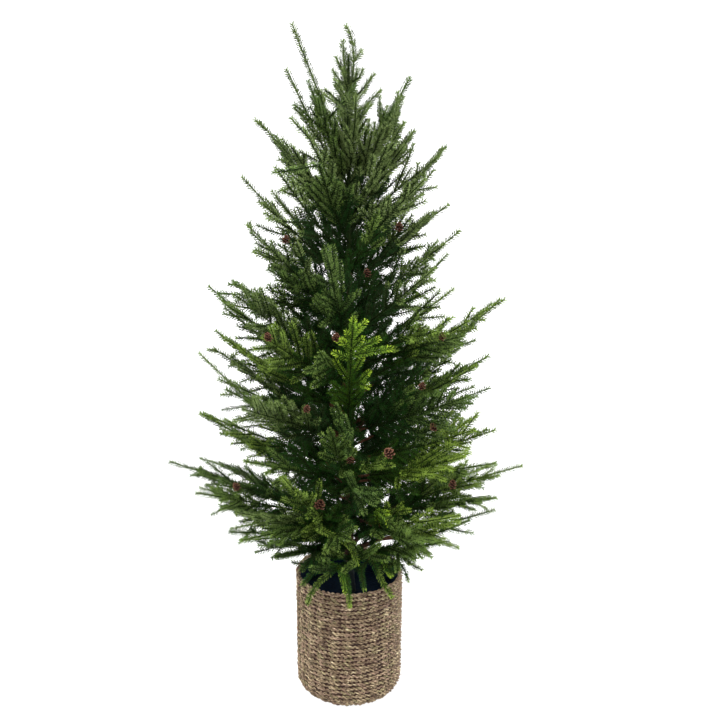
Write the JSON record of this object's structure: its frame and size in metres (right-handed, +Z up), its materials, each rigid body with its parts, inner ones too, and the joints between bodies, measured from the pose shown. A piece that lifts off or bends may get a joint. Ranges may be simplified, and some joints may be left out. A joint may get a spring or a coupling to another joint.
{
  "type": "potted artificial norfolk island pine",
  "caption": "Artificial norfolk island pine with a slender tiered crown and small cones, standing in a round woven seagrass basket.",
  "frame": {"origin": "centre of the basket's flat underside, on the ground", "axes": "+Z up along the trunk, -Y towards the front seen in the picture, +X to the viewer's right"},
  "size_m": [0.798, 0.6396, 1.5044],
  "materials": {
    "needles": "satin",
    "bark": "matte",
    "seagrass": "matte",
    "liner": "satin",
    "fill": "matte"
  },
  "bodies": {
    "root": {"basket": "seagrass", "bough_t1_1": "bark", "bough_t1_2": "bark", "bough_t1_3": "bark", "bough_t1_4": "bark", "bough_t1_5": "bark", "bough_t1_6": "bark", "bough_t1_7": "bark", "bough_t2_1": "bark", "bough_t2_2": "bark", "bough_t2_3": "bark", "bough_t2_4": "bark", "bough_t2_5": "bark", "bough_t2_6": "bark", "fill": "fill", "foliage_t1_1": "needles", "foliage_t1_2": "needles", "foliage_t1_3": "needles", "foliage_t1_4": "needles", "foliage_t1_5": "needles", "foliage_t1_6": "needles", "foliage_t1_7": "needles", "foliage_t2_1": "needles", "foliage_t2_2": "needles", "foliage_t2_3": "needles", "foliage_t2_4": "needles", "foliage_t2_5": "needles", "foliage_t2_6": "needles", "foliage_t3_1": "needles", "foliage_t3_2": "needles", "foliage_t3_3": "needles", "foliage_t3_4": "needles", "foliage_t3_5": "needles", "foliage_t4_1": "needles", "foliage_t4_2": "needles", "foliage_t4_3": "needles", "foliage_t4_4": "needles", "foliage_t4_5": "needles", "foliage_t5_1": "needles", "foliage_t5_2": "needles", "foliage_t5_3": "needles", "foliage_t5_4": "needles", "foliage_t6_1": "needles", "foliage_t6_2": "needles", "foliage_t6_3": "needles", "foliage_t6_4": "needles", "foliage_t7_1": "needles", "foliage_t7_2": "needles", "foliage_t7_3": "needles", "foliage_t8_1": "needles", "foliage_t8_2": "needles", "foliage_t8_3": "needles", "foliage_t8_4": "needles", "foliage_t9_1": "needles", "foliage_t9_2": "needles", "foliage_t9_3": "needles", "foliage_t9_4": "needles", "foliage_top": "needles", "liner": "liner", "trunk": "bark"}
  },
  "joints": []
}
